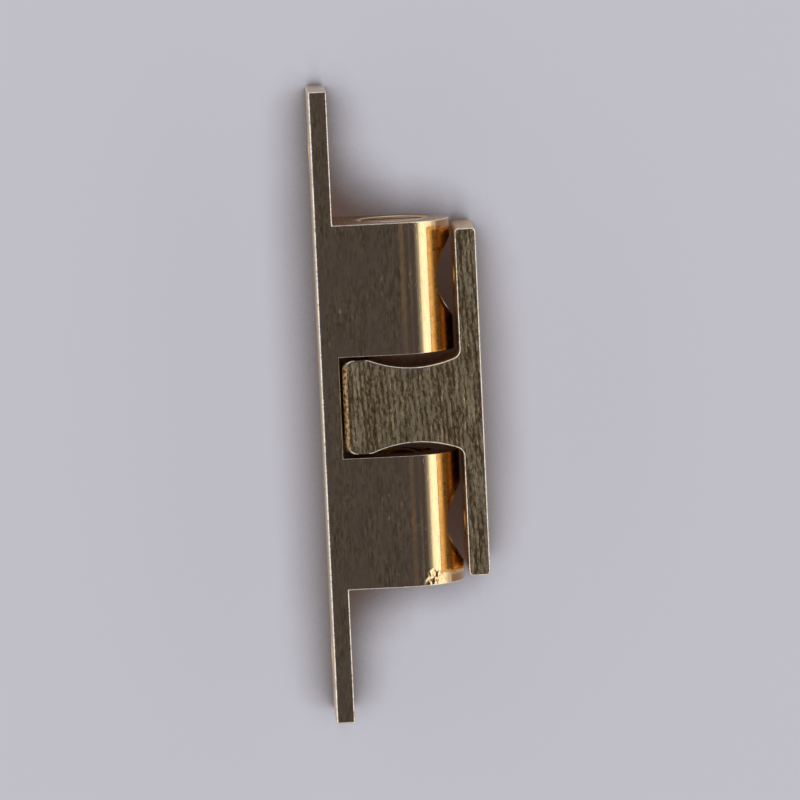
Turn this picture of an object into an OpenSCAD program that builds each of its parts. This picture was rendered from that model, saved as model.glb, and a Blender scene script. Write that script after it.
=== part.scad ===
// Double ball catch: a brass housing that holds two sprung balls, and the striker that they grip.
// Millimetres. X is the way the striker pulls out, Y runs along the housing, Z across its width.
// The origin is on the housing's back face, midway between its two screws.

/* [Housing] */
// Length of the back plate
housing_l = 50; // [46:0.5:62]
// Width of the bar, which is also the diameter of its round nose
bar_w = 9; // [7.5:0.1:10.8]
// Thickness of the back plate
back_t = 1.5; // [1:0.1:2]
// Height of the bores' axis above the back face
axis_h = 6.3; // [5.6:0.1:7.6]
// Length of each barrel
barrel_l = 10.4; // [9.8:0.1:12.5]
// Width of the throat between the barrels
throat_w = 8; // [6.7:0.1:9.6]
// Distance from each end of the back plate to its screw hole
end_to_screw = 5; // [3.5:0.1:5.2]
// Radius along the two back edges of the bar
bar_edge_r = 0.25; // [0.1:0.05:0.4]
// Metal between a barrel's thread and the recess over it
recess_floor = 0.45; // [0.3:0.05:0.8]
// Metal between the recess and the barrel's outer end
recess_to_end = 1.45; // [1:0.05:1.9]

/* [Striker] */
// Length of the striker's plate
striker_l = 27.5; // [25:0.5:29]
// Thickness of the striker's plate
striker_t = 1.7; // [1.2:0.1:2.2]
// Gap between the closed striker's plate and the barrels
striker_gap = 0.2; // [0.1:0.05:0.5]
// Gap between the closed striker's head and the back plate
head_gap = 0.2; // [0.1:0.05:0.5]
// Gap on each side of the head in the throat
crest_gap = 0.25; // [0.15:0.05:0.4]
// Gap on each side of the tongue in the throat where it leaves the plate
foot_gap = 0.25; // [0.15:0.05:0.4]
// Depth of the hollow on each side of the tongue
hollow_depth = 0.75; // [0.7:0.05:1.1]
// Distance from the bores' axis out to the middle of the hollow
hollow_out = 1.1; // [0.8:0.05:1.4]
// Radius where the hollow meets the head
crest_r = 1.2; // [0.8:0.1:1.6]
// Radius of the head's corners
head_r = 0.9; // [0.5:0.1:1.1]
// Fillet between the hollow and the plate
root_r = 0.7; // [0.4:0.1:0.9]
// Radius of the plate's long edges
striker_edge_r = 0.35; // [0.1:0.05:0.5]

/* [Screws that fasten it] */
// Diameter of the screw holes
screw_hole_d = 3.2; // [2.6:0.1:3.5]
// Diameter of the screw heads that the barrels' recesses clear
screw_head_d = 6; // [5.4:0.1:6.4]
// Thickness of those heads
screw_head_t = 1.3; // [0.8:0.1:1.4]
// Clearance round and over the heads
head_clear = 0.2; // [0.1:0.05:0.3]

/* [Balls] */
// Diameter of the balls
ball_d = 5; // [4.1:0.05:6]
// Radial clearance of a ball in its bore
ball_clear = 0.05; // [0.03:0.01:0.08]
// Thickness of the lip that keeps a ball in
lip_t = 0.6; // [0.4:0.05:0.8]
// Gap between a pressed-back ball and the head that passes it
pass_gap = 0.1; // [0.05:0.01:0.15]
// Travel of a ball from there to its lip
ball_out = 0.7; // [0.5:0.05:0.75]
// Gap left at the lip when the ball is right out
lip_clear = 0.03; // [0.02:0.01:0.05]

/* [Springs] */
// Diameter of the spring wire
wire_d = 0.5; // [0.35:0.05:0.55]
// Turns of a spring, closed end turns included
spring_turns = 5; // [4:1:6]
// Clearance round a spring in its cup
spring_clear = 0.1; // [0.05:0.05:0.2]

/* [Adjusters] */
// Step from the ball's radius up to the adjuster's, so that the ball goes in through the thread
thread_step = 0.2; // [0.15:0.05:0.3]
// Radial clearance between the threads
thread_clear = 0.05; // [0.03:0.01:0.08]
// Length of an adjuster
adjuster_l = 4; // [3.6:0.1:4.2]
// Pitch of the thread
thread_pitch = 0.75; // [0.5:0.05:0.8]
// Turns that an adjuster can go in from flush
turns_in = 1; // [0.5:0.25:1]
// Metal between the slot and the cup that holds the spring's outer end
cup_floor = 0.6; // [0.4:0.1:1]
// Wall round the cup
cup_wall = 0.6; // [0.45:0.05:0.7]
// Width of the screwdriver slot
slot_w = 1; // [0.6:0.1:1.2]
// Depth of the screwdriver slot
slot_depth = 0.8; // [0.5:0.1:0.9]
// Bevel on an adjuster's ends and round the mouth of its bore
end_bevel = 0.2; // [0.1:0.05:0.3]

/* [Hidden] */
$fn = 96;
eps = 0.01;
// radii of the balls, the adjusters and their bores
ball_r = ball_d / 2;
ball_bore_r = ball_r + ball_clear;
adjuster_r = ball_r + thread_step;
thread_r = adjuster_r + thread_clear;
// where the barrels stand, and the recess in each that a striker screw's head enters
barrel_in = throat_w / 2;
barrel_out = barrel_in + barrel_l;
recess_r = screw_head_d / 2 + head_clear;
recess_x = axis_h + thread_r + recess_floor;
housing_screw_y = housing_l / 2 - end_to_screw;
// the striker in the closed position, its screw heads just clear of the recesses
striker_x = recess_x + screw_head_t + head_clear;
striker_screw_y = barrel_out - recess_to_end - recess_r;
head_x = back_t + head_gap;
crest_h = barrel_in - crest_gap;
neck_h = crest_h - hollow_depth;
// the bar's round nose
nose_r = bar_w / 2;
nose_x = striker_x - striker_gap;
nose_centre = nose_x - nose_r;
// the balls along Y, and the mouth that the lip leaves
ball_y = crest_h + pass_gap + ball_r;
lip_y = barrel_in + lip_t;
mouth_r = sqrt(pow(ball_r, 2) - pow(ball_y - ball_out - lip_clear - lip_y, 2));
// adjusters and their threaded bores
adjuster_in = barrel_out - adjuster_l;
thread_in = adjuster_in - turns_in * thread_pitch - thread_clear;
cup_r = adjuster_r - cup_wall;
cup_depth = adjuster_l - slot_depth - cup_floor;
// springs, from the ball to the floor of the cup
seat_clear = 0.03;
spring_r = cup_r - wire_d / 2 - spring_clear;
spring_in = ball_y + sqrt(pow(ball_r + wire_d / 2 + seat_clear, 2) - pow(spring_r, 2));
spring_out = adjuster_in + cup_depth - wire_d / 2 - seat_clear;

// What stands at the upper barrel, or with lower = true the same at the lower one, turned round X
module at_barrel(lower = false) {
    rotate([lower ? 180 : 0, 0, 0]) children();
}

// A round bar or bore along Y on the barrels' axis, from one y to another
module along_axis(r, from, to, r_end = -1) {
    translate([axis_h, from, 0])
        rotate([-90, 0, 0])
            cylinder(h = to - from, r1 = r, r2 = r_end < 0 ? r : r_end);
}

// A round bar or bore along X at a given y, from one x to another
module along_pull(r, y, from, to) {
    translate([from, y, 0])
        rotate([0, 90, 0])
            cylinder(h = to - from, r = r);
}

// The bar's D section, with X up the page and Z across it: a flat back, straight sides and a round nose
module bar_section() {
    translate([nose_centre, 0]) circle(r = nose_r);
    translate([bar_edge_r, -nose_r]) square([nose_centre - bar_edge_r, bar_w]);
    translate([0, bar_edge_r - nose_r]) square([bar_edge_r + eps, bar_w - 2 * bar_edge_r]);
    for (side = [-1, 1])
        translate([bar_edge_r, side * (nose_r - bar_edge_r)]) circle(r = bar_edge_r);
}

// A length of the bar along Y, centred
module bar() {
    translate([0, housing_l / 2, 0])
        rotate([90, 0, 0])
            linear_extrude(housing_l) bar_section();
}

// What is milled off the bar from one y to another, down to the back plate
module milled(from, to) {
    translate([back_t, from, -bar_w])
        cube([nose_x, to - from, 2 * bar_w]);
}

// The bore for one ball, its lip, the thread behind it and the recess in the nose
module barrel_cuts() {
    along_axis(mouth_r, barrel_in - 1, lip_y + eps);
    along_axis(ball_bore_r, lip_y, thread_in + eps);
    along_axis(thread_r, thread_in, barrel_out + 1);
    along_axis(thread_r, barrel_out - end_bevel, barrel_out + eps, thread_r + end_bevel + eps);
    along_pull(recess_r, striker_screw_y, recess_x, nose_x + 1);
}

module housing() {
    color("#8a7a4e") difference() {
        bar();
        milled(-barrel_in, barrel_in);
        milled(barrel_out, housing_l);
        milled(-housing_l, -barrel_out);
        for (lower = [false, true])
            at_barrel(lower) barrel_cuts();
        for (side = [-1, 1])
            along_pull(screw_hole_d / 2, side * housing_screw_y, -1, back_t + 1);
    }
}

// The hollow's arc is deepest beside the balls and comes up to the tongue's foot at the plate
hollow_x = axis_h + hollow_out;
foot_rise = barrel_in - foot_gap - neck_h;
hollow_r = (pow(striker_x - hollow_x, 2) + pow(foot_rise, 2)) / (2 * foot_rise);
// Its centre, and those of the two rounds that run into it. Each round is tangent to the hollow's arc:
// crest_c lies inside the metal below the head's flat, root_c in the air beside the plate.
// A round's radius passes its neighbours by a hair, so that the arcs cross and leave no sliver.
hair = 0.0005;
hollow_c = [hollow_x, neck_h + hollow_r];
crest_c = [
    hollow_c.x - sqrt(pow(hollow_r + crest_r, 2) - pow(hollow_c.y - crest_h + crest_r, 2)),
    crest_h - crest_r
];
root_c = [
    striker_x - root_r,
    hollow_c.y - sqrt(pow(hollow_r - root_r, 2) - pow(striker_x - root_r - hollow_c.x, 2))
];
// where the rounds touch the hollow's arc
crest_touch = hollow_c + (crest_c - hollow_c) * hollow_r / (hollow_r + crest_r);
root_touch = hollow_c + (root_c - hollow_c) * hollow_r / (hollow_r - root_r);

// The hollow beside the tongue, with both its ends blended. It is cut from a block as high as the head.
module hollow() {
    difference() {
        union() {
            intersection() {
                translate(hollow_c) circle(r = hollow_r);
                translate([crest_c.x, 0]) square([striker_x - crest_c.x, hollow_c.y]);
            }
            difference() {
                translate([crest_c.x, crest_touch.y]) square([crest_touch.x - crest_c.x + eps, crest_h]);
                translate(crest_c) circle(r = crest_r + hair);
            }
        }
        difference() {
            translate([root_touch.x, 0]) square([striker_x - root_touch.x + eps, root_c.y]);
            translate(root_c) circle(r = root_r + hair);
        }
    }
}

// The tongue from the head to the plate, with X along it. Beside the hollow the block stands as high as the
// plate's fillets, and the hollow takes away all but them.
module tongue_section() {
    difference() {
        union() {
            translate([head_x + head_r, -crest_h]) square([hollow_x - head_x - head_r, 2 * crest_h]);
            translate([head_x, head_r - crest_h]) square([head_r + eps, 2 * (crest_h - head_r)]);
            for (side = [-1, 1])
                translate([head_x + head_r, side * (crest_h - head_r)]) circle(r = head_r);
            translate([hollow_x - eps, -root_c.y]) square([striker_x - hollow_x + 2 * eps, 2 * root_c.y]);
        }
        hollow();
        mirror([0, 1]) hollow();
    }
}

module plate_section() {
    translate([striker_x, striker_edge_r - striker_l / 2])
        square([striker_t, striker_l - 2 * striker_edge_r]);
    translate([striker_x + striker_edge_r, -striker_l / 2])
        square([striker_t - 2 * striker_edge_r, striker_l]);
    for (x = [striker_edge_r, striker_t - striker_edge_r], side = [-1, 1])
        translate([striker_x + x, side * (striker_l / 2 - striker_edge_r)]) circle(r = striker_edge_r);
}

module striker() {
    color("#a8966a") difference() {
        translate([0, 0, -nose_r])
            linear_extrude(bar_w) {
                plate_section();
                tongue_section();
            }
        for (side = [-1, 1])
            along_pull(screw_hole_d / 2, side * striker_screw_y, striker_x - 1, striker_x + striker_t + 1);
    }
}

module ball() {
    color("#d8b35a")
        translate([axis_h, ball_y, 0]) sphere(r = ball_r);
}

// The wire's centre line: t runs from 0 to 1, and the first and last turns lie close together
wire_sides = 8;
rings_a_turn = 14;
coil_gap = 0.05;
closed_pitch = wire_d + coil_gap;
open_pitch = (spring_out - spring_in - 2 * closed_pitch) / (spring_turns - 2);
function coil_y(turn) = spring_in + closed_pitch * min(turn, 1)
    + open_pitch * min(max(turn - 1, 0), spring_turns - 2)
    + closed_pitch * max(turn - spring_turns + 1, 0);
function coil_point(turn, out, up) = [
    axis_h + (spring_r + out) * cos(360 * turn),
    coil_y(turn) + up,
    (spring_r + out) * sin(360 * turn)
];

module spring() {
    rings = rings_a_turn * spring_turns;
    points = [
        for (ring = [0:rings], side = [0:wire_sides - 1])
            coil_point(ring / rings_a_turn, cos(360 * side / wire_sides) * wire_d / 2,
                sin(360 * side / wire_sides) * wire_d / 2)
    ];
    walls = [
        for (ring = [0:rings - 1], side = [0:wire_sides - 1])
            let (next = (side + 1) % wire_sides, a = ring * wire_sides, b = a + wire_sides)
                [a + side, b + side, b + next, a + next]
    ];
    start = [for (side = [0:wire_sides - 1]) side];
    finish = [for (side = [wire_sides - 1:-1:0]) rings * wire_sides + side];
    color("#b9bcc0") polyhedron(points, concat([start], walls, [finish]), convexity = 6);
}

module adjuster() {
    color("#c9a654") difference() {
        union() {
            along_axis(adjuster_r, adjuster_in + end_bevel, barrel_out - end_bevel);
            along_axis(adjuster_r - end_bevel, adjuster_in, adjuster_in + end_bevel + eps, adjuster_r + eps);
            along_axis(adjuster_r + eps, barrel_out - end_bevel - eps, barrel_out, adjuster_r - end_bevel);
        }
        along_axis(cup_r, adjuster_in - 1, adjuster_in + cup_depth);
        translate([axis_h - 2 * adjuster_r, barrel_out - slot_depth, -slot_w / 2])
            cube([4 * adjuster_r, slot_depth + 1, slot_w]);
    }
}

housing();
striker();
at_barrel() ball();  // upper_ball
at_barrel(lower = true) ball();  // lower_ball
at_barrel() spring();  // upper_spring
at_barrel(lower = true) spring();  // lower_spring
at_barrel() adjuster();  // upper_adjuster
at_barrel(lower = true) adjuster();  // lower_adjuster
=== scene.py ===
import math

import bmesh
import bpy
from mathutils import Matrix, Vector
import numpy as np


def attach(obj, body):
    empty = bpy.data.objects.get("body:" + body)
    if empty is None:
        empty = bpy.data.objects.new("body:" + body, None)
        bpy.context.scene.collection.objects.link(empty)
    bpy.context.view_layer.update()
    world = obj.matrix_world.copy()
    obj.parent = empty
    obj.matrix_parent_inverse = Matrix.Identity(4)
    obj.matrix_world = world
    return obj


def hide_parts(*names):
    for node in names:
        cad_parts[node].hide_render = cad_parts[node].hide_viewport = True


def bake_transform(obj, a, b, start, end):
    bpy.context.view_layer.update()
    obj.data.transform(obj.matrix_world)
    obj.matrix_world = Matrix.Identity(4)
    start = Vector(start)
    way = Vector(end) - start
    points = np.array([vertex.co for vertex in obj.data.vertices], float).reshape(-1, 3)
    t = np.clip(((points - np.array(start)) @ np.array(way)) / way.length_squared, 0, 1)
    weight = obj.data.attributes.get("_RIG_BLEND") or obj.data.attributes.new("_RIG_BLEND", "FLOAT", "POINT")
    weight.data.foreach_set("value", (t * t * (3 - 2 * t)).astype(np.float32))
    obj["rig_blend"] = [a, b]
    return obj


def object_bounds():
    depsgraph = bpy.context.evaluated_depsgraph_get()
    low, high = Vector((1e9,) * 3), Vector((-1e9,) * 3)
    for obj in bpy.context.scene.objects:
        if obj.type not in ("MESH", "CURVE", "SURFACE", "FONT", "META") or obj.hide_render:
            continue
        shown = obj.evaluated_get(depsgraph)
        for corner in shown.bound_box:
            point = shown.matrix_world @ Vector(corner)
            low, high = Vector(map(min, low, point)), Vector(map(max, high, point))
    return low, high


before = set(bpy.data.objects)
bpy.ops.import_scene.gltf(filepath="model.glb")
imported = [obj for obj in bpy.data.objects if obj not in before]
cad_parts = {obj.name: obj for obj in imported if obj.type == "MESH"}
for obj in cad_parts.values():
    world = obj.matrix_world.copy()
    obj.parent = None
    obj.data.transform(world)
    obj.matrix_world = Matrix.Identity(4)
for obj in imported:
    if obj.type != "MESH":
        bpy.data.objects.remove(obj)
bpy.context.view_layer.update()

# The view. The catch lies on its side on a pale floor with its back plate to the left, and the camera looks
# down on it from a little beyond the upper end. A dark ceiling stands over it between two long bright walls
# of soft light, which is what drawn brass needs: dull sides, and one bright band along the round nose.
MM = 0.001
VIEW_CENTRE = Vector((6.3 * MM, 0, 0))
CAMERA_DISTANCE = 0.62
CAMERA_FROM = Vector((-0.028, 0.1, 1)).normalized()
CAMERA_ROLL = math.radians(2.6)
FRAME_HEIGHT = 63.3 * MM
SENSOR_WIDTH, CLIP_START = 36, 0.01
# the world's colours by the sine of the height angle
WORLD_SHADES = ((0.50, "#E9E9EC"), (0.74, "#464656"))
SIDE_LIGHT_OUT = 0.55
SIDE_LIGHT_LOW, SIDE_LIGHT_HIGH = math.radians(6), math.radians(38)
SIDE_LIGHT_LENGTH = 1.5
SIDE_LIGHT_RADIANCE = 0.74
# a wall's greys from its foot to its top
WALL_SHADES = ((0, "#9A9A9A"), (0.72, "#FFFFFF"), (1, "#D8D8D8"))


def linear(colour):
    """A linear colour with alpha, from a hex string in sRGB."""
    parts = [int(colour[i:i + 2], 16) / 255 for i in (1, 3, 5)]
    return [p / 12.92 if p <= 0.04045 else ((p + 0.055) / 1.055) ** 2.4 for p in parts] + [1]


def bare_tree(owner):
    """The empty node tree of a world, a lamp or a material."""
    owner.use_nodes = True
    owner.node_tree.nodes.clear()
    return owner.node_tree


def add(tree, kind, inputs=(), **settings):
    """Adds a node, gives it its settings, and sets or links its inputs. A dict has them by name and a list
    in their order, which for a Map Range is the value, its old range and its new one."""
    made = tree.nodes.new(kind)
    for name, value in settings.items():
        setattr(made, name, value)
    for socket, value in inputs.items() if isinstance(inputs, dict) else enumerate(inputs):
        if isinstance(value, bpy.types.NodeSocket):
            tree.links.new(value, made.inputs[socket])
        else:
            made.inputs[socket].default_value = value
    return made


def shade(ramp_node, shades):
    """Gives a colour ramp its (place, colour) pairs, and returns its colour output."""
    elements = ramp_node.color_ramp.elements
    while len(elements) < len(shades):
        elements.new(1)
    for element, (place, colour) in zip(elements, shades):
        element.position, element.color = place, linear(colour)
    return ramp_node.outputs["Color"]


scene = bpy.context.scene
scene.view_settings.view_transform = "Standard"

camera = bpy.data.objects.new("view_camera", bpy.data.cameras.new("view_camera"))
scene.collection.objects.link(camera)
camera.location = VIEW_CENTRE + CAMERA_FROM * CAMERA_DISTANCE
picture_up = Vector((math.sin(CAMERA_ROLL), math.cos(CAMERA_ROLL), 0))
picture_right = picture_up.cross(CAMERA_FROM).normalized()
picture_up = CAMERA_FROM.cross(picture_right)
camera.rotation_euler = Matrix((picture_right, picture_up, CAMERA_FROM)).transposed().to_euler()
camera.data.sensor_width = SENSOR_WIDTH
camera.data.lens = SENSOR_WIDTH * CAMERA_DISTANCE / FRAME_HEIGHT
camera.data.clip_start = CLIP_START
scene.camera = camera

# the world: dark overhead, pale round the horizon
world = bpy.data.worlds.new("studio")
scene.world = world
tree = bare_tree(world)
direction = add(tree, "ShaderNodeTexCoord").outputs["Generated"]
height = add(tree, "ShaderNodeSeparateXYZ", [direction]).outputs["Z"]
sky = shade(add(tree, "ShaderNodeValToRGB", [height]), WORLD_SHADES)
air = add(tree, "ShaderNodeBackground", {"Color": sky, "Strength": 1.0})
add(tree, "ShaderNodeOutputWorld", {"Surface": air.outputs[0]})

# the two walls of soft light, upright, one beyond the back plate and one beyond the striker; each is
# brightest about two thirds of the way up, so the band along the nose has a soft side
wall_low = SIDE_LIGHT_OUT * math.tan(SIDE_LIGHT_LOW)
wall_high = SIDE_LIGHT_OUT * math.tan(SIDE_LIGHT_HIGH)
for name, way in (("back_light", -1), ("striker_light", 1)):
    data = bpy.data.lights.new(name, "AREA")
    data.shape = "RECTANGLE"
    data.size = wall_high - wall_low
    data.size_y = SIDE_LIGHT_LENGTH
    data.energy = SIDE_LIGHT_RADIANCE * math.pi * data.size * data.size_y
    lamp = bpy.data.objects.new(name, data)
    scene.collection.objects.link(lamp)
    lamp.location = (way * SIDE_LIGHT_OUT, 0, (wall_low + wall_high) / 2)
    lamp.rotation_euler = (0, way * math.pi / 2, 0)
    lamp.visible_camera = False
    tree = bare_tree(data)
    position = add(tree, "ShaderNodeNewGeometry").outputs["Position"]
    height = add(tree, "ShaderNodeSeparateXYZ", [position]).outputs["Z"]
    up_wall = add(tree, "ShaderNodeMapRange", [height, wall_low, wall_high, 0, 1]).outputs[0]
    grey = shade(add(tree, "ShaderNodeValToRGB", [up_wall]), WALL_SHADES)
    glow = add(tree, "ShaderNodeEmission", {"Color": grey, "Strength": 1.0})
    add(tree, "ShaderNodeOutputLight", {"Surface": glow.outputs[0]})

# The floor: one plain sheet of matt white paper under the catch. Paper sends light back evenly and has no
# gloss, so it looks flat and pale. Round and between the pieces its glow carries painted shade, with a
# painted brown that stands in for the light the brass throws on it, and in the narrowest gaps the painted
# shade is nearly black.
FLOOR_SIZE = 3.0
PAPER_GREY = "#7F7E83"
# how far round a point the pieces count as near it, and the paper's painted shade and painted brass-brown
# light, from all hidden to open
GAP_REACH = 6 * MM
PAPER_PAINTED_SHADE = ((0.09, "#2A2522"), (0.18, "#4E3428"), (0.45, "#30241E"), (0.85, "#B0AFB7"))

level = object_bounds()[0].z
far = FLOOR_SIZE / 2
sheet = bpy.data.meshes.new("floor")
sheet.from_pydata([(-far, -far, level), (far, -far, level), (far, far, level), (-far, far, level)], [],
                  [(0, 1, 2, 3)])
floor = bpy.data.objects.new("floor", sheet)
scene.collection.objects.link(floor)

paper = bpy.data.materials.new("floor_matt_white_paper")
tree = bare_tree(paper)
ray = add(tree, "ShaderNodeLightPath").outputs
seen = add(tree, "ShaderNodeMath", [ray["Is Camera Ray"], ray["Is Glossy Ray"]],
           operation="MAXIMUM").outputs[0]
openness = add(tree, "ShaderNodeAmbientOcclusion", {"Distance": GAP_REACH}, samples=8).outputs["AO"]
# painted shade: the paper's glow darkens where the pieces hide it, and turns brown between them as painted
# light from the brass
painted_gap_shade = shade(add(tree, "ShaderNodeValToRGB", [openness]), PAPER_PAINTED_SHADE)
matt = add(tree, "ShaderNodeBsdfDiffuse", {"Color": linear(PAPER_GREY)})
lift = add(tree, "ShaderNodeEmission", {"Color": painted_gap_shade, "Strength": seen})
both = add(tree, "ShaderNodeAddShader", [matt.outputs[0], lift.outputs[0]])
add(tree, "ShaderNodeOutputMaterial", {"Surface": both.outputs[0]})
sheet.materials.append(paper)

# The housing: one length of D-section brass bar with its round side drawn bright. The throat and the two
# ends are milled down to the back plate, and each barrel left between is bored, threaded at its outer end
# and recessed in its nose. The sizes, in millimetres, are those of the CAD model.
BARRELS = (("upper", 1), ("lower", -1))
BAR_W, BAR_LENGTH, BACK_T, EDGE_R = 9.0, 50.0, 1.5, 0.25
HALF_W = BAR_W / 2
AXIS_H, NOSE_R, NOSE_CENTRE = 6.3, 4.5, 6.3
BARREL_IN, BARREL_OUT = 4.0, 14.4
LIP_Y, MOUTH_R, BALL_BORE_R, THREAD_IN, THREAD_R = 4.6, 2.2798, 2.55, 9.6, 2.75
# the length of a square step in a bore, and of the bevel at its mouth
STEP, MOUTH_BEVEL = 0.001, 0.2
RECESS_R, RECESS_X, RECESS_Y = 3.2, 9.5, 9.75
HOLE_R, HOLE_BREAK, HOUSING_HOLE_Y = 1.6, 0.12, 20.0
THROAT_BREAK, BARREL_BREAK, PLATE_BREAK, END_BREAK, WIDEST_BREAK = 0.025, 0.1, 0.16, 0.2, 0.4
# the faces across a broken edge, and the degrees from which an edge counts as sharp
BEVEL_STEPS, SHARP_FROM = 3, 40
# how far a cutter reaches past a face, and how far out of the nose
PAST, CUT_TO_X = 1, 20
# how near a face or an edge lies to the place that it belongs to
NEAR = 0.1


def arc(centre, radius, start, end, steps):
    """Points of an arc in the plane, in degrees from start to end, both ends included."""
    return [(centre[0] + radius * math.cos(math.radians(start + (end - start) * i / steps)),
             centre[1] + radius * math.sin(math.radians(start + (end - start) * i / steps)))
            for i in range(steps + 1)]


def stack(name, rings):
    """A solid from closed rings of as many points each, in millimetres, one after another, with its two
    ends closed."""
    count = len(rings[0])
    faces = [tuple(range(count)), tuple(range((len(rings) - 1) * count, len(rings) * count))]
    for row in range(len(rings) - 1):
        for i in range(count):
            a, b = row * count + i, row * count + (i + 1) % count
            faces.append((a, b, b + count, a + count))
    mesh = bpy.data.meshes.new(name)
    mesh.from_pydata([Vector(point) * MM for ring in rings for point in ring], [], faces)
    work = bmesh.new()
    work.from_mesh(mesh)
    bmesh.ops.recalc_face_normals(work, faces=work.faces)
    work.to_mesh(mesh)
    work.free()
    made = bpy.data.objects.new(name, mesh)
    scene.collection.objects.link(made)
    return made


def box(name, low_corner, high_corner):
    """A block between two corners."""
    x0, y0, z0 = low_corner
    x1, y1, z1 = high_corner
    return stack(name, [[(x, y0, z0), (x, y1, z0), (x, y1, z1), (x, y0, z1)] for x in (x0, x1)])


def round_bar(name, axis, centre, profile, sides):
    """A turned solid whose axis runs through centre along X or Y, from (place, radius) pairs along it."""
    rings = []
    for place, radius in profile:
        ring = []
        for i in range(sides):
            c = radius * math.cos(2 * math.pi * i / sides)
            s = radius * math.sin(2 * math.pi * i / sides)
            ring.append((place, centre[1] + c, centre[2] + s) if axis == "X" else
                        (centre[0] + c, place, centre[2] + s))
        rings.append(ring)
    return stack(name, rings)


def screw_hole(at_y, start, end):
    """A cutter along X for a hole whose two rims are broken."""
    flare = HOLE_R + HOLE_BREAK + PAST
    profile = [(start - PAST, flare), (start + HOLE_BREAK, HOLE_R),
               (end - HOLE_BREAK, HOLE_R), (end + PAST, flare)]
    return round_bar("screw_hole", "X", (0, at_y, 0), profile, 64)


def apply_modifiers(made):
    """Replaces an object's mesh by what its modifiers make of it."""
    depsgraph = bpy.context.evaluated_depsgraph_get()
    mesh = bpy.data.meshes.new_from_object(made.evaluated_get(depsgraph))
    made.modifiers.clear()
    made.data = mesh


def cut(made, cutters):
    """Takes the cutters away from a solid, and joins the points that this leaves a hair apart."""
    for cutter in cutters:
        boolean = made.modifiers.new("cut", "BOOLEAN")
        boolean.operation = "DIFFERENCE"
        boolean.solver = "EXACT"
        boolean.object = cutter
        apply_modifiers(made)
        bpy.data.objects.remove(cutter)
    work = bmesh.new()
    work.from_mesh(made.data)
    bmesh.ops.remove_doubles(work, verts=work.verts, dist=STEP / 2 * MM)
    work.to_mesh(made.data)
    work.free()


def break_edges(made, width_at):
    """Breaks a solid's sharp edges, as a tumbler or a file leaves them. width_at gives the width at the
    middle of an edge, both in millimetres."""
    work = bmesh.new()
    work.from_mesh(made.data)
    layers = work.edges.layers.float
    weight = layers.get("bevel_weight_edge") or layers.new("bevel_weight_edge")
    for edge in work.edges:
        if edge.is_manifold and edge.calc_face_angle() > math.radians(SHARP_FROM):
            edge[weight] = width_at((edge.verts[0].co + edge.verts[1].co) / (2 * MM)) / WIDEST_BREAK
    work.to_mesh(made.data)
    work.free()
    bevel = made.modifiers.new("bevel", "BEVEL")
    bevel.width = WIDEST_BREAK * MM
    bevel.segments = BEVEL_STEPS
    bevel.limit_method = "WEIGHT"
    bevel.use_clamp_overlap = False
    apply_modifiers(made)


def smooth(made, angle):
    """Shades the rounds smooth and keeps the flats flat. The angle, in degrees, is the least sharp edge's."""
    made.data.shade_smooth()
    made.data.set_sharp_from_angle(angle=math.radians(angle))
    weighted = made.modifiers.new("weighted", "WEIGHTED_NORMAL")
    weighted.mode = "FACE_AREA"
    weighted.weight = 100
    weighted.keep_sharp = True
    apply_modifiers(made)


# the D outline as (x, z), from the back's lower edge up over the nose
section = arc((EDGE_R, EDGE_R - HALF_W), EDGE_R, 180, 270, 5)
section += arc((NOSE_CENTRE, 0), NOSE_R, -90, 90, 72)
section += arc((EDGE_R, HALF_W - EDGE_R), EDGE_R, 90, 180, 5)
housing = stack("housing_bar", [[(x, y, z) for x, z in section] for y in (-BAR_LENGTH / 2, BAR_LENGTH / 2)])
cut(housing, [
    box("throat", (BACK_T, -BARREL_IN, -BAR_W), (CUT_TO_X, BARREL_IN, BAR_W)),
    box("upper_end", (BACK_T, BARREL_OUT, -BAR_W), (CUT_TO_X, BAR_LENGTH, BAR_W)),
    box("lower_end", (BACK_T, -BAR_LENGTH, -BAR_W), (CUT_TO_X, -BARREL_OUT, BAR_W)),
])


def housing_break(middle):
    """How far an edge of the housing is broken."""
    if abs(middle.y) > BAR_LENGTH / 2 - NEAR:
        return END_BREAK
    if abs(middle.y) < BARREL_IN + NEAR:
        return BARREL_BREAK / 2 if middle.x > BACK_T + NEAR else THROAT_BREAK
    return BARREL_BREAK if abs(middle.y) < BARREL_OUT + NEAR else PLATE_BREAK


break_edges(housing, housing_break)
for _, way in BARRELS:
    cut(housing, [
        round_bar("bore", "Y", (AXIS_H, 0, 0), [
            (way * (BARREL_IN - PAST), MOUTH_R),
            (way * LIP_Y, MOUTH_R),
            (way * (LIP_Y + STEP), BALL_BORE_R),
            (way * THREAD_IN, BALL_BORE_R),
            (way * (THREAD_IN + STEP), THREAD_R),
            (way * (BARREL_OUT - MOUTH_BEVEL), THREAD_R),
            (way * (BARREL_OUT + MOUTH_BEVEL), THREAD_R + 2 * MOUTH_BEVEL),
            (way * (BARREL_OUT + PAST), THREAD_R + 2 * MOUTH_BEVEL),
        ], 96),
        round_bar("recess", "X", (0, way * RECESS_Y, 0), [(RECESS_X, RECESS_R), (CUT_TO_X, RECESS_R)], 128),
        screw_hole(way * HOUSING_HOLE_Y, 0, BACK_T),
    ])
smooth(housing, 32)

# the brass of the whole catch is one pale yellow, free-cutting brass, and only its finish changes
BRASS, BRASS_DIRTY, BRASS_SCRAPED = "#F6D8A2", "#A8875C", "#F2E6D0"
# the brown of the painted reflection lines, and the brown that is the milled faces' bloom and painted shade
# and the nose ends' painted shade
REFLECTION_BROWN, BLOOM_AND_SHADE_BROWN = "#D9965A", "#A87748"
# the height at which the nose's polish starts and is full
POLISH_FROM, POLISH_TO = 6.6, 8.0
# each painted reflection line's height, half width and strength
PAINTED_REFLECTION_LINES = ((6.85, 0.28, 0.5), (7.45, 0.16, 0.3))
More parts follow.
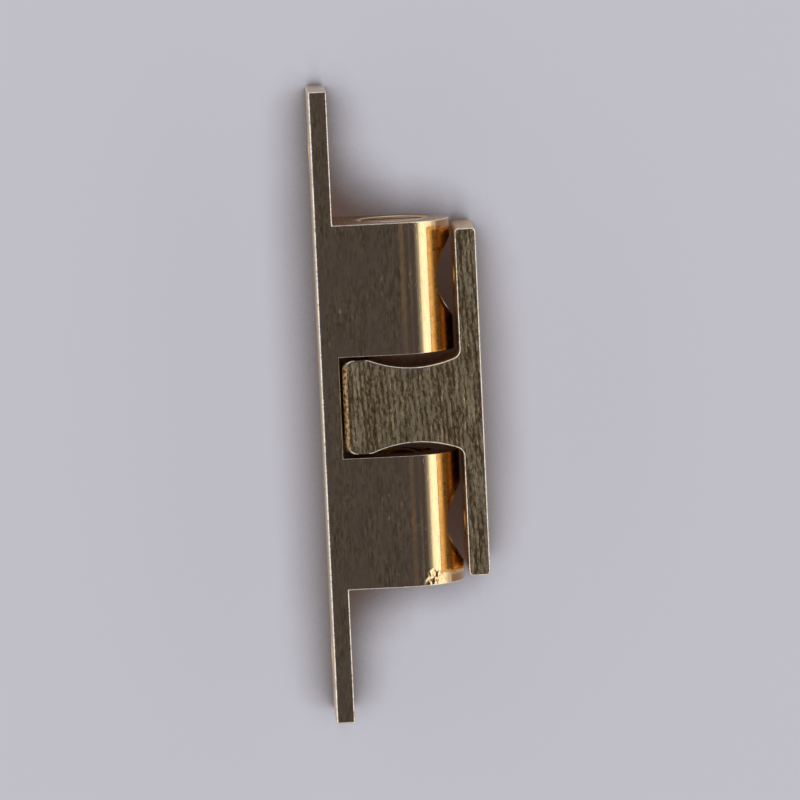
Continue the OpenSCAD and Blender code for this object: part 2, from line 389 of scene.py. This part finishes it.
# the painted shade at each nose's end: how far from the barrel's end, and at what height
SHADED_END_FROM, SHADED_END_TO, SHADED_END_LOW, SHADED_END_HIGH = 1, 0.6, 9.2, 9.8
# the middle of the chips, how far they are whole, how far they reach, and their height or depth
CHIPPED_CORNER, CHIPS_FULL_R, CHIPS_R, CHIP_DEPTH = (8.3, -14.0, 4.0), 0.4, 1.1, 0.045


def metal(name, finish, **values):
    """A metal. Its finish adds the surface's own nodes and says what they give the shader."""
    material = bpy.data.materials.new(name)
    tree = bare_tree(material)
    shader = add(tree, "ShaderNodeBsdfPrincipled", {"Metallic": 1.0, **values, **finish(tree)})
    add(tree, "ShaderNodeOutputMaterial", {"Surface": shader.outputs[0]})
    return material


def millimetres(tree, stretch=(1, 1, 1)):
    """The object's own coordinates in millimetres, each axis times its stretch."""
    local = add(tree, "ShaderNodeTexCoord").outputs["Object"]
    scale = [s / MM for s in stretch]
    return add(tree, "ShaderNodeVectorMath", [local, scale], operation="MULTIPLY").outputs[0]


def drawn(tree):
    """Drawn brass: the die's lines along the bar, and a few specks between them. To the eye its sides are
    dull and streaked, and the nose, where the die bears hardest, is nearly a mirror; two faint brown lines
    are painted where they meet, as painted reflections of dark edges. The end of each nose's underside is
    browned with painted shade. Real die lines are too fine to show, so these are seven to the millimetre."""
    point = millimetres(tree)
    out, along, _ = add(tree, "ShaderNodeSeparateXYZ", [point]).outputs
    lines = add(tree, "ShaderNodeTexNoise", {"Vector": millimetres(tree, (7, 0.1, 7)), "Scale": 1.0,
                                             "Detail": 3.0, "Roughness": 0.6}).outputs["Fac"]
    grain = add(tree, "ShaderNodeTexNoise", {"Vector": millimetres(tree, (7, 1.4, 7)), "Scale": 1.0,
                                             "Detail": 3.0, "Roughness": 0.6}).outputs["Fac"]
    skin = add(tree, "ShaderNodeTexNoise", {"Vector": millimetres(tree, (0.6, 0.3, 0.6)), "Scale": 1.0,
                                            "Detail": 4.0}).outputs["Fac"]
    polish = add(tree, "ShaderNodeMapRange", [out, POLISH_FROM, POLISH_TO, 0, 1]).outputs[0]
    dull = add(tree, "ShaderNodeMapRange", [skin, 0.3, 0.7, 0.25, 0.31]).outputs[0]
    bright = add(tree, "ShaderNodeMapRange", [skin, 0.3, 0.7, 0.07, 0.11]).outputs[0]
    rough = add(tree, "ShaderNodeMix", {"Factor": polish, "A": dull, "B": bright}).outputs["Result"]

    # dirt lies in the grain, in clouds, and little of it on the polish
    in_grain = add(tree, "ShaderNodeMapRange", [grain, 0.4, 0.7, 0, 0.7]).outputs[0]
    cloudy = add(tree, "ShaderNodeMapRange", [skin, 0.35, 0.65, 0.5, 1.4]).outputs[0]
    clouds = add(tree, "ShaderNodeMath", [in_grain, cloudy], operation="MULTIPLY").outputs[0]
    off_polish = add(tree, "ShaderNodeMapRange", [polish, 0, 1, 1, 0.3]).outputs[0]
    dirt = add(tree, "ShaderNodeMath", [clouds, off_polish], operation="MULTIPLY").outputs[0]
    colour = add(tree, "ShaderNodeMix", {"Factor": dirt, "A": linear(BRASS), "B": linear(BRASS_DIRTY)},
                 data_type="RGBA").outputs["Result"]

    # painted reflections: two brown lines along the nose, where dark edges are mirrored
    for line, half_width, strength in PAINTED_REFLECTION_LINES:
        above = add(tree, "ShaderNodeMath", [out, line], operation="SUBTRACT").outputs[0]
        away = add(tree, "ShaderNodeMath", [above], operation="ABSOLUTE").outputs[0]
        near = add(tree, "ShaderNodeMapRange", [away, half_width / 3, half_width, 1, 0]).outputs[0]
        patchy = add(tree, "ShaderNodeMapRange", [skin, 0.35, 0.65, 0.5 * strength, strength]).outputs[0]
        on_line = add(tree, "ShaderNodeMath", [near, patchy], operation="MULTIPLY").outputs[0]
        colour = add(tree, "ShaderNodeMix", {"Factor": on_line, "A": colour, "B": linear(REFLECTION_BROWN)},
                     data_type="RGBA").outputs["Result"]
        rough = add(tree, "ShaderNodeMix", {"Factor": on_line, "A": rough, "B": 0.62}).outputs["Result"]

    # painted shade: the underside of each nose is brown for the last half millimetre, a painted dark
    # reflection where it would mirror the pale floor
    from_middle = add(tree, "ShaderNodeMath", [along], operation="ABSOLUTE").outputs[0]
    at_end = add(tree, "ShaderNodeMapRange", [from_middle, BARREL_OUT - SHADED_END_FROM, BARREL_OUT - SHADED_END_TO,
                                              0, 0.9]).outputs[0]
    below = add(tree, "ShaderNodeMapRange", [out, SHADED_END_LOW, SHADED_END_HIGH, 0, 1]).outputs[0]
    painted_end_shade = add(tree, "ShaderNodeMath", [at_end, below], operation="MULTIPLY").outputs[0]
    colour = add(tree, "ShaderNodeMix", {"Factor": painted_end_shade, "A": colour, "B": linear(BLOOM_AND_SHADE_BROWN)},
                 data_type="RGBA").outputs["Result"]

    # dull ragged specks, here and there
    specks = add(tree, "ShaderNodeTexVoronoi", {"Vector": millimetres(tree, (1.5, 0.9, 1.5)), "Scale": 1.0,
                                                "Randomness": 1.0}).outputs["Distance"]
    ragged = add(tree, "ShaderNodeMath", [grain, 0.5, specks], operation="MULTIPLY_ADD").outputs[0]
    in_speck = add(tree, "ShaderNodeMapRange", [ragged, 0.28, 0.4, 0.5, 0]).outputs[0]
    patches = add(tree, "ShaderNodeMapRange", [skin, 0.4, 0.6, 0.1, 1]).outputs[0]
    on_speck = add(tree, "ShaderNodeMath", [in_speck, patches], operation="MULTIPLY").outputs[0]
    rough = add(tree, "ShaderNodeMix", {"Factor": on_speck, "A": rough, "B": 0.6}).outputs["Result"]

    depth = add(tree, "ShaderNodeMapRange", [polish, 0, 1, 0.004, 0.0012]).outputs[0]
    ridges = add(tree, "ShaderNodeMath", [lines, depth], operation="MULTIPLY").outputs[0]
    pits = add(tree, "ShaderNodeMapRange", [grain, 0.6, 0.8, 0, -0.003]).outputs[0]
    pitted = add(tree, "ShaderNodeMath", [pits, ridges], operation="ADD").outputs[0]
    # the lower barrel's end is chipped where its nose is brightest
    from_chips = add(tree, "ShaderNodeVectorMath", [point, CHIPPED_CORNER],
                     operation="DISTANCE").outputs["Value"]
    on_chips = add(tree, "ShaderNodeMapRange", [from_chips, CHIPS_FULL_R, CHIPS_R, 1, 0]).outputs[0]
    crumbs = add(tree, "ShaderNodeTexNoise", {"Vector": millimetres(tree, (2, 2, 2)), "Scale": 1.0,
                                              "Detail": 0.6}).outputs["Fac"]
    lumps = add(tree, "ShaderNodeMapRange", [crumbs, 0.35, 0.65, CHIP_DEPTH, -CHIP_DEPTH]).outputs[0]
    chips = add(tree, "ShaderNodeMath", [on_chips, lumps], operation="MULTIPLY").outputs[0]
    relief = add(tree, "ShaderNodeMath", [pitted, chips], operation="ADD").outputs[0]
    bump = add(tree, "ShaderNodeBump", {"Strength": 1.0, "Distance": MM, "Height": relief})
    return {"Base Color": colour, "Roughness": rough, "Normal": bump.outputs[0]}


def milled(tree):
    """Milled brass: the cutter's arcs across the bar, three to the millimetre as a fast feed leaves them,
    under a thin brown bloom. To the eye it is a satin face, browner than the bar's skin; the brown is partly
    bloom and partly painted shade, for the dark surroundings that the milled faces mirror."""
    sweep = add(tree, "ShaderNodeTexWave", {"Vector": millimetres(tree), "Scale": 0.9, "Distortion": 0.25,
                                            "Detail": 2.0, "Detail Scale": 0.6},
                wave_type="RINGS", rings_direction="X").outputs["Fac"]
    relief = add(tree, "ShaderNodeMapRange", [sweep, 0, 1, 0, 0.006]).outputs[0]
    bump = add(tree, "ShaderNodeBump", {"Strength": 1.0, "Distance": MM, "Height": relief})
    bloom_and_shade = add(tree, "ShaderNodeTexNoise", {"Vector": millimetres(tree, (0.7, 0.7, 0.7)), "Scale": 1.0,
                                             "Detail": 4.0, "Roughness": 0.6}).outputs["Fac"]
    thick = add(tree, "ShaderNodeMapRange", [bloom_and_shade, 0.3, 0.7, 0.45, 0.75]).outputs[0]
    # bloom and painted shade: the brown stands partly for the real bloom and partly for the dark surroundings
    # that the milled faces mirror
    tint = add(tree, "ShaderNodeMix", {"Factor": thick, "A": linear(BRASS), "B": linear(BLOOM_AND_SHADE_BROWN)},
               data_type="RGBA").outputs["Result"]
    rough = add(tree, "ShaderNodeMapRange", [bloom_and_shade, 0.35, 0.65, 0.2, 0.3]).outputs[0]
    return {"Base Color": tint, "Roughness": rough, "Normal": bump.outputs[0]}


def turned(tree):
    """Turned or bored brass: the tool's fine rings, fourteen to the millimetre. To the eye it is a bright
    metal whose reflections are drawn out along the axis."""
    rings = add(tree, "ShaderNodeTexNoise", {"Vector": millimetres(tree, (0.2, 14, 0.2)), "Scale": 1.0,
                                             "Detail": 2.0}).outputs["Fac"]
    relief = add(tree, "ShaderNodeMapRange", [rings, 0.3, 0.7, 0, 0.004]).outputs[0]
    bump = add(tree, "ShaderNodeBump", {"Strength": 1.0, "Distance": MM, "Height": relief})
    return {"Base Color": linear(BRASS), "Normal": bump.outputs[0]}


def scraped(tree):
    """Scraped brass: a file's or a tumbler's narrow edge, nicked here and there. To the eye it is a thin
    bright line, paler than the skin beside it."""
    nicks = add(tree, "ShaderNodeTexNoise", {"Vector": millimetres(tree, (3, 3, 3)), "Scale": 1.0,
                                             "Detail": 3.0, "Roughness": 0.7}).outputs["Fac"]
    dirt = add(tree, "ShaderNodeMapRange", [nicks, 0.5, 0.7, 0, 0.6]).outputs[0]
    tint = add(tree, "ShaderNodeMix", {"Factor": dirt, "A": linear(BRASS_SCRAPED), "B": linear(BRASS_DIRTY)},
               data_type="RGBA").outputs["Result"]
    relief = add(tree, "ShaderNodeMapRange", [nicks, 0.3, 0.7, 0, 0.01]).outputs[0]
    bump = add(tree, "ShaderNodeBump", {"Strength": 1.0, "Distance": MM, "Height": relief})
    return {"Base Color": tint, "Roughness": 0.25, "Normal": bump.outputs[0]}


drawn_bar = metal("brass_drawn", drawn)
milled_face = metal("brass_milled", milled)
bored_wall = metal("brass_bored", turned, Roughness=0.22)
scraped_edge = metal("brass_scraped_edge", scraped)

# the places of these four in the housing's list of materials
DRAWN, MILLED, BORED, SCRAPED = range(4)
# more than this much of a face's normal lies along an axis that the face is square to, and more than that
# much along one that it is tilted towards
SQUARE, TILTED = 0.9, 0.1


def housing_finish(middle, normal):
    """The finish of one of the housing's faces."""
    x, y = middle.x, abs(middle.y)
    in_recess = x > RECESS_X - NEAR and math.hypot(y - RECESS_Y, middle.z) < RECESS_R + NEAR / 2
    in_hole = math.hypot(y - HOUSING_HOLE_Y, middle.z) < HOLE_R + 2 * NEAR and abs(normal.x) < SQUARE
    if in_recess or in_hole:
        return BORED
    if abs(normal.y) > SQUARE or abs(normal.x) > SQUARE and abs(x - BACK_T) < 2 * NEAR:
        return MILLED
    from_axis = math.hypot(x - AXIS_H, middle.z)
    if from_axis < THREAD_R + 3 * NEAR and BARREL_IN - 2 * NEAR < y < BARREL_OUT + 2 * NEAR:
        return BORED
    if normal.x > TILTED > abs(normal.z) and x < BACK_T + 2 * NEAR and y < BARREL_OUT + 2 * NEAR:
        return MILLED
    if x < 2 * BACK_T and min(abs(normal.x), abs(normal.z)) > TILTED:
        return SCRAPED if normal.x < 0 or y > BARREL_IN else DRAWN
    return SCRAPED if y > BARREL_IN - NEAR and abs(normal.y) > TILTED else DRAWN


for material in (drawn_bar, milled_face, bored_wall, scraped_edge):
    housing.data.materials.append(material)
for face in housing.data.polygons:
    face.material_index = housing_finish(face.center / MM, face.normal)
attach(housing, "housing")
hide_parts("housing")

# The striker: a slice sawn off an extruded T-section brass bar. Its two broad faces keep the saw's wavy
# marks, its sides keep the die's lines, and its plate has two screw holes.
STRIKER_X, STRIKER_T, STRIKER_L, STRIKER_EDGE_R = 11.0, 1.7, 27.5, 0.35
HEAD_X, CREST_H, HEAD_R, CREST_R, ROOT_R = 1.7, 3.75, 0.9, 1.2, 0.7
HOLLOW_X, NECK_H, FOOT_H = 7.4, 3.0, 3.75
STRIKER_HOLE_Y = 9.75
SAWN_BREAK, HEAD_BREAK = 0.17, 0.4

# the hollow's arc touches the neck and meets the plate at the foot's height, the crest's round runs tangent
# into it, and so does the fillet at the plate
foot_rise = FOOT_H - NECK_H
hollow_r = ((STRIKER_X - HOLLOW_X) ** 2 + foot_rise ** 2) / (2 * foot_rise)
hollow_c = (HOLLOW_X, NECK_H + hollow_r)
crest_y = CREST_H - CREST_R
crest_c = (hollow_c[0] - math.sqrt((hollow_r + CREST_R) ** 2 - (hollow_c[1] - crest_y) ** 2), crest_y)
root_x = STRIKER_X - ROOT_R
root_c = (root_x, hollow_c[1] - math.sqrt((hollow_r - ROOT_R) ** 2 - (root_x - hollow_c[0]) ** 2))


def bearing(start, end):
    """The direction from one point to another, in degrees."""
    return math.degrees(math.atan2(end[1] - start[1], end[0] - start[0]))


# the outline as (x, y): the upper half from the head round to the plate's outer face, and then its mirror
turn_in, turn_out = bearing(hollow_c, crest_c), bearing(hollow_c, root_c)
corner_y = STRIKER_L / 2 - STRIKER_EDGE_R
upper_half = arc((HEAD_X + HEAD_R, CREST_H - HEAD_R), HEAD_R, 180, 90, 12)
upper_half += arc(crest_c, CREST_R, 90, turn_in + 180, 10)
upper_half += arc(hollow_c, hollow_r, turn_in, turn_out, 24)[1:]
upper_half += arc(root_c, ROOT_R, turn_out, 0, 10)[1:]
upper_half += arc((STRIKER_X + STRIKER_EDGE_R, corner_y), STRIKER_EDGE_R, 180, 90, 6)
upper_half += arc((STRIKER_X + STRIKER_T - STRIKER_EDGE_R, corner_y), STRIKER_EDGE_R, 90, 0, 6)
outline = upper_half + [(x, -y) for x, y in reversed(upper_half)]
striker = stack("striker_slice", [[(x, y, z) for x, y in outline] for z in (-HALF_W, HALF_W)])


def striker_break(middle):
    """How far an edge of the striker is broken: most at the head's end."""
    to_head = max(0, 1 - (middle.x - HEAD_X) / HEAD_R)
    return SAWN_BREAK + (HEAD_BREAK - SAWN_BREAK) * to_head


break_edges(striker, striker_break)
cut(striker, [screw_hole(way * STRIKER_HOLE_Y, STRIKER_X, STRIKER_X + STRIKER_T) for _, way in BARRELS])
smooth(striker, 32)

BRASS_SAWN, SAW_DIRT, BURR_NICK, EXTRUDED_SKIN = "#F9E3B0", "#846B48", "#8A5A30", "#E2A862"
SAW_DEPTH, GRIT_DEPTH = 0.026, 0.02
# how far the saw wandered, and how much its path leans
SAW_DRIFT, SAW_SLANT = 0.35, 0.05


def sawn(tree):
    """Sawn brass: wavy saw marks along the slice, two or three to the millimetre as a coarse blade leaves
    them, broken into flecks by grit. To the eye it is dark and dull, with bright crests and dirt between
    them."""
    drift = add(tree, "ShaderNodeTexNoise", {"Vector": millimetres(tree, (0.35, 0.12, 1)), "Scale": 1.0,
                                             "Detail": 2.0}).outputs["Fac"]
    x, y, z = add(tree, "ShaderNodeSeparateXYZ", [millimetres(tree)]).outputs
    wander = add(tree, "ShaderNodeMapRange", [drift, 0, 1, -SAW_DRIFT, SAW_DRIFT]).outputs[0]
    shifted = add(tree, "ShaderNodeMath", [x, wander], operation="ADD").outputs[0]
    slanted = add(tree, "ShaderNodeMath", [y, SAW_SLANT, shifted], operation="MULTIPLY_ADD").outputs[0]
    wavy = add(tree, "ShaderNodeCombineXYZ", [slanted, y, z]).outputs[0]

    def streaks(across, along, detail, low, high):
        """Marks drawn out along the saw's path, so many to the millimetre across it and along it, and
        stretched from between low and high to the whole range."""
        drawn_out = add(tree, "ShaderNodeVectorMath", [wavy, (across, along, 1)],
                        operation="MULTIPLY").outputs[0]
        marks = add(tree, "ShaderNodeTexNoise", {"Vector": drawn_out, "Scale": 1.0, "Detail": detail,
                                                 "Roughness": 0.6}).outputs["Fac"]
        return add(tree, "ShaderNodeMapRange", [marks, low, high, 0, 1]).outputs[0]

    teeth = add(tree, "ShaderNodeTexWave", {"Vector": wavy, "Scale": 0.78, "Distortion": 1.6, "Detail": 2.0,
                                            "Detail Scale": 1.2}, bands_direction="X").outputs["Fac"]
    uneven = streaks(3.3, 0.3, 2.0, 0.34, 0.66)
    ridges = add(tree, "ShaderNodeMix", {"Factor": 0.42, "A": uneven, "B": teeth}).outputs["Result"]
    grit = streaks(8, 2.2, 3.0, 0.32, 0.68)
    flecks = add(tree, "ShaderNodeMath", [grit, GRIT_DEPTH], operation="MULTIPLY").outputs[0]
    relief = add(tree, "ShaderNodeMath", [ridges, SAW_DEPTH, flecks], operation="MULTIPLY_ADD").outputs[0]
    bump = add(tree, "ShaderNodeBump", {"Strength": 1.0, "Distance": MM, "Height": relief})

    crests = add(tree, "ShaderNodeMath", [ridges, grit], operation="ADD").outputs[0]
    between = add(tree, "ShaderNodeMapRange", [crests, 0.7, 1.4, 1, 0]).outputs[0]
    tint = add(tree, "ShaderNodeMix", {"Factor": between, "A": linear(BRASS_SAWN), "B": linear(SAW_DIRT)},
               data_type="RGBA").outputs["Result"]
    rough = add(tree, "ShaderNodeMapRange", [crests, 0.6, 1.5, 0.42, 0.34]).outputs[0]
    return {"Base Color": tint, "Roughness": rough, "Normal": bump.outputs[0]}


def burred(tree):
    """Burred brass: the edge that the saw rolled over at the head. To the eye it is a row of bright crumbs
    and dark nicks, about a quarter of a millimetre each."""
    crumbs = add(tree, "ShaderNodeTexNoise", {"Vector": millimetres(tree, (4, 4, 4)), "Scale": 1.0,
                                              "Detail": 3.0, "Roughness": 0.7}).outputs["Fac"]
    relief = add(tree, "ShaderNodeMapRange", [crumbs, 0.3, 0.7, 0, 0.12]).outputs[0]
    bump = add(tree, "ShaderNodeBump", {"Strength": 1.0, "Distance": MM, "Height": relief})
    nicks = add(tree, "ShaderNodeMapRange", [crumbs, 0.42, 0.58, 1, 0]).outputs[0]
    tint = add(tree, "ShaderNodeMix", {"Factor": nicks, "A": linear(BRASS), "B": linear(BURR_NICK)},
               data_type="RGBA").outputs["Result"]
    return {"Base Color": tint, "Roughness": 0.4, "Normal": bump.outputs[0]}


def extruded(tree):
    """Extruded brass: the die's lines, which run across the slice, under a thin skin. To the eye it is a
    dull amber side, evenly lined. Real lines are too fine to show, so these are five to the millimetre."""
    lines = add(tree, "ShaderNodeTexNoise", {"Vector": millimetres(tree, (5, 5, 0.1)), "Scale": 1.0,
                                             "Detail": 3.0, "Roughness": 0.6}).outputs["Fac"]
    relief = add(tree, "ShaderNodeMapRange", [lines, 0.3, 0.7, 0, 0.003]).outputs[0]
    bump = add(tree, "ShaderNodeBump", {"Strength": 1.0, "Distance": MM, "Height": relief})
    skin = add(tree, "ShaderNodeTexNoise", {"Vector": millimetres(tree, (2.5, 2.5, 0.2)), "Scale": 1.0,
                                            "Detail": 4.0}).outputs["Fac"]
    rough = add(tree, "ShaderNodeMapRange", [skin, 0.3, 0.7, 0.24, 0.36]).outputs[0]
    thick = add(tree, "ShaderNodeMapRange", [skin, 0.3, 0.7, 0.3, 0.7]).outputs[0]
    tint = add(tree, "ShaderNodeMix", {"Factor": thick, "A": linear(BRASS), "B": linear(EXTRUDED_SKIN)},
               data_type="RGBA").outputs["Result"]
    return {"Base Color": tint, "Roughness": rough, "Normal": bump.outputs[0]}


sawn_face = metal("brass_sawn_wavy", sawn)
extruded_side = metal("brass_extruded", extruded)
burred_edge = metal("brass_burred_edge", burred)

# the places of these three in the striker's list, where the scraped edge comes fourth as in the housing's
SAWN, EXTRUDED, BURRED = range(3)
# more than this of a broad face's normal lies along Z
FLAT = 0.99


def striker_finish(middle, normal):
    """The finish of one of the striker's faces."""
    steep = abs(normal.z)
    if steep > FLAT:
        return SAWN
    if steep > TILTED and abs(middle.z) > HALF_W - HEAD_BREAK:
        return BURRED if middle.x < HEAD_X + HEAD_BREAK else SCRAPED
    return EXTRUDED


for material in (sawn_face, extruded_side, burred_edge, scraped_edge):
    striker.data.materials.append(material)
for face in striker.data.polygons:
    face.material_index = striker_finish(face.center / MM, face.normal)
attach(striker, "striker")
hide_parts("striker")

# The balls: two turned and polished brass balls, one in each barrel, which spring out over the head.
# Each is held in its bore by a lip at the throat, with its spring behind it.
BALL_R, BALL_Y = 2.5, 6.35
# the rings and sides of a ball's mesh, and the radius of the small ring that closes each pole
BALL_RINGS, BALL_SIDES, POLE_R = 48, 72, 0.002


def polished(tree):
    """Polished brass: what tumbling leaves on a ball. To the eye it is a mirror under a faint uneven haze,
    in patches of half a millimetre."""
    haze = add(tree, "ShaderNodeTexNoise", {"Vector": millimetres(tree, (2, 2, 2)), "Scale": 1.0,
                                            "Detail": 5.0, "Roughness": 0.7}).outputs["Fac"]
    rough = add(tree, "ShaderNodeMapRange", [haze, 0.3, 0.7, 0.06, 0.16]).outputs[0]
    relief = add(tree, "ShaderNodeMapRange", [haze, 0.3, 0.7, 0, 0.002]).outputs[0]
    bump = add(tree, "ShaderNodeBump", {"Strength": 1.0, "Distance": MM, "Height": relief})
    return {"Base Color": linear(BRASS), "Roughness": rough, "Normal": bump.outputs[0]}


polished_ball = metal("brass_polished", polished)
for name, way in BARRELS:
    profile = []
    for i in range(BALL_RINGS + 1):
        turn = math.pi * i / BALL_RINGS
        profile.append((way * (BALL_Y - BALL_R * math.cos(turn)), max(BALL_R * math.sin(turn), POLE_R)))
    ball = round_bar(f"{name}_ball_polished", "Y", (AXIS_H, 0, 0), profile, BALL_SIDES)
    ball.data.shade_smooth()
    ball.data.materials.append(polished_ball)
    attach(ball, f"{name}_ball")
    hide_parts(f"{name}_ball")

# The springs: one closed coil of bright steel wire behind each ball, from the ball to the adjuster's cup. Its
# middle stays in the barrel while one half follows the ball and the other the adjuster, so each half is a
# piece of its own.
WIRE_D, SPRING_TURNS, SPRING_R, COIL_GAP = 0.5, 5, 1.75, 0.05
SPRING_IN, SPRING_OUT = 8.498, 12.72
WIRE_SIDES, RINGS_A_TURN = 14, 40
SPRING_STEEL = "#C9C8C6"


def coil(name, way, first, last):
    """The turns from first to last of a coil whose end turns lie close together, on the barrels' axis."""
    closed = WIRE_D + COIL_GAP
    opened = (SPRING_OUT - SPRING_IN - 2 * closed) / (SPRING_TURNS - 2)
    rings = []
    for k in range(round(RINGS_A_TURN * first), round(RINGS_A_TURN * last) + 1):
        turn = k / RINGS_A_TURN
        along = SPRING_IN + closed * (min(turn, 1) + max(turn - SPRING_TURNS + 1, 0))
        along += opened * min(max(turn - 1, 0), SPRING_TURNS - 2)
        around = 2 * math.pi * turn
        ring = []
        for i in range(WIRE_SIDES):
            t = 2 * math.pi * i / WIRE_SIDES
            r = SPRING_R + WIRE_D / 2 * math.cos(t)
            ring.append((AXIS_H + r * math.cos(around), way * (along + WIRE_D / 2 * math.sin(t)),
                         way * r * math.sin(around)))
        rings.append(ring)
    return stack(name, rings)


def wire(tree):
    """Drawn spring steel: long fine die marks round the coil. To the eye it is a bright grey wire with soft
    streaks. Real marks are too fine to show, so these are nine to the millimetre."""
    lines = add(tree, "ShaderNodeTexNoise", {"Vector": millimetres(tree, (1.5, 9, 1.5)), "Scale": 1.0,
                                             "Detail": 2.0}).outputs["Fac"]
    rough = add(tree, "ShaderNodeMapRange", [lines, 0.3, 0.7, 0.18, 0.32]).outputs[0]
    relief = add(tree, "ShaderNodeMapRange", [lines, 0.3, 0.7, 0, 0.003]).outputs[0]
    bump = add(tree, "ShaderNodeBump", {"Strength": 1.0, "Distance": MM, "Height": relief})
    return {"Base Color": linear(SPRING_STEEL), "Roughness": rough, "Normal": bump.outputs[0]}


spring_steel = metal("spring_steel_drawn", wire)
spring_middle = (SPRING_IN + SPRING_OUT) / 2
# each half's name, its turns, the body that it follows, where it starts to follow and where it ends
SPRING_HALVES = (
    ("inner", 0, SPRING_TURNS / 2, "ball", spring_middle - WIRE_D / 2, SPRING_IN - WIRE_D / 2),
    ("outer", SPRING_TURNS / 2, SPRING_TURNS, "spring", spring_middle + WIRE_D / 2, SPRING_OUT + WIRE_D / 2),
)
for name, way in BARRELS:
    for part, first, last, body, still, tip in SPRING_HALVES:
        turns = coil(f"{name}_spring_coil_{part}", way, first, last)
        smooth(turns, 50)
        turns.data.materials.append(spring_steel)
        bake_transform(turns, "housing", f"{name}_{body}", start=(AXIS_H * MM, way * still * MM, 0),
                 end=(AXIS_H * MM, way * tip * MM, 0))
        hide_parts(f"{name}_spring")

# The adjusters: a slotted brass screw in each barrel's outer end. It is turned, threaded in a die, and
# hollow inside for the spring.
ADJUSTER_R, ADJUSTER_L, PITCH, THREAD_DEPTH = 2.7, 4.0, 0.75, 0.36
CUP_R, CUP_DEPTH, SLOT_W, SLOT_DEPTH, END_BEVEL = 2.1, 2.6, 1.0, 0.8, 0.2
THREAD_SIDES, THREAD_STEP = 72, 0.05
# half of the thread's flat root, and one flank, as parts of the pitch
HALF_ROOT, FLANK = 0.08, 0.34


def threaded(name, way):
    """A slug with a real screw thread whose ends run out into bevels."""
    start = BARREL_OUT - ADJUSTER_L
    levels = round(ADJUSTER_L / THREAD_STEP)
    rings = []
    for k in range(levels + 1):
        along = ADJUSTER_L * k / levels
        bevelled = ADJUSTER_R - max(0, END_BEVEL - min(along, ADJUSTER_L - along))
        ring = []
        for i in range(THREAD_SIDES):
            phase = (along / PITCH - i / THREAD_SIDES) % 1
            up_flank = min(max((abs(phase - 0.5) - HALF_ROOT) / FLANK, 0), 1)
            r = min(bevelled, ADJUSTER_R - THREAD_DEPTH * (1 - up_flank))
            around = 2 * math.pi * i / THREAD_SIDES
            ring.append((AXIS_H + r * math.cos(around), way * (start + along), way * r * math.sin(around)))
        rings.append(ring)
    return stack(name, rings)


turned_screw = metal("brass_turned", turned, Roughness=0.2)
for name, way in BARRELS:
    adjuster = threaded(f"{name}_adjuster_screw", way)
    inner_end = way * (BARREL_OUT - ADJUSTER_L)
    reach = 2 * ADJUSTER_R
    cut(adjuster, [
        round_bar("cup", "Y", (AXIS_H, 0, 0), [
            (inner_end - way * PAST, CUP_R), (inner_end + way * CUP_DEPTH, CUP_R)], 64),
        box("slot", (AXIS_H - reach, way * (BARREL_OUT - SLOT_DEPTH), -SLOT_W / 2),
            (AXIS_H + reach, way * (BARREL_OUT + PAST), SLOT_W / 2)),
    ])
    smooth(adjuster, 25)
    adjuster.data.materials.append(turned_screw)
    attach(adjuster, f"{name}_adjuster")
    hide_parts(f"{name}_adjuster")
